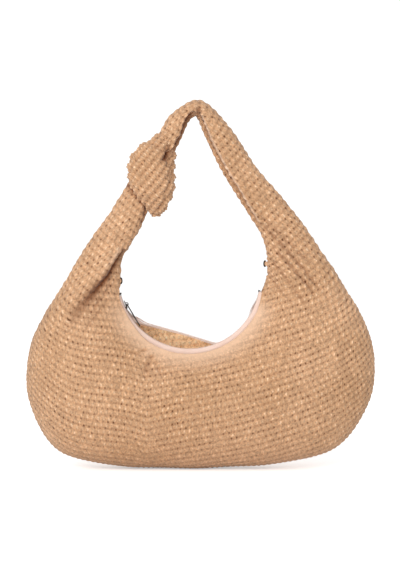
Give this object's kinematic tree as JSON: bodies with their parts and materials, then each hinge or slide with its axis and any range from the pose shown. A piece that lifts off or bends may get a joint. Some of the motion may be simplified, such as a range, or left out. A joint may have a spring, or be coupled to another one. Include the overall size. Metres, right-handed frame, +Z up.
{
  "type": "hobo bag",
  "caption": "Soft knitted crescent hobo bag with a knotted shoulder handle, a curved zip in its open mouth and D-rings at the mouth's ends.",
  "frame": {"origin": "on the ground plane, under the middle of the bag's length and depth", "axes": "+Z up, +X along the bag's length to the right as seen from the front, front faces -Y"},
  "size_m": [0.417, 0.0905, 0.4413],
  "materials": {
    "knit": "chunky tan knit",
    "lining": "tan woven lining",
    "tape": "pale pink woven tape",
    "coil": "pale pink nylon coil",
    "metal": "dark gunmetal plating",
    "label": "cream satin"
  },
  "bodies": {
    "sack": {"front_panel": "knit", "back_panel": "knit", "lining_front": "lining", "lining_back": "lining", "slip_pocket": "lining", "care_label": "label", "rim_binding_front": "tape", "rim_binding_back": "tape", "zip_tape_front": "tape", "zip_tape_back": "tape", "zip_coil_front": "coil", "zip_coil_back": "coil", "zip_bottom_stop": "metal", "zip_top_stop_front": "metal", "zip_top_stop_back": "metal", "d_ring_tab_left": "knit", "d_ring_tab_right": "knit"},
    "handle": {"strap_left": "knit", "strap_right": "knit", "knot": "knit"},
    "slider": {"zip_slider": "metal"},
    "pull": {"zip_pull": "metal"},
    "ring_left": {"d_ring_left": "metal"},
    "ring_right": {"d_ring_right": "metal"}
  },
  "joints": [
    {"name": "handle_fold", "type": "hinge", "parent": "sack", "child": "handle", "pos_m": [0, 0, 0.27], "axis": [1, 0, 0], "range_deg": [-90, 90]},
    {"name": "zip_travel", "type": "hinge", "parent": "sack", "child": "slider", "pos_m": [-0.013, 0, 0.229], "axis": [0, -1, 0], "range_deg": [-3, 138]},
    {"name": "pull_swing", "type": "hinge", "parent": "slider", "child": "pull", "pos_m": [-0.08802, 0, 0.19793], "axis": [0, -1, 0], "range_deg": [0, 145]},
    {"name": "ring_left_swing", "type": "hinge", "parent": "sack", "child": "ring_left", "pos_m": [-0.0956, 0, 0.226], "axis": [0, 0, 1], "range_deg": [0, 85]},
    {"name": "ring_right_swing", "type": "hinge", "parent": "sack", "child": "ring_right", "pos_m": [0.0776, 0, 0.2465], "axis": [0, 0, 1], "range_deg": [-120, 0]}
  ]
}
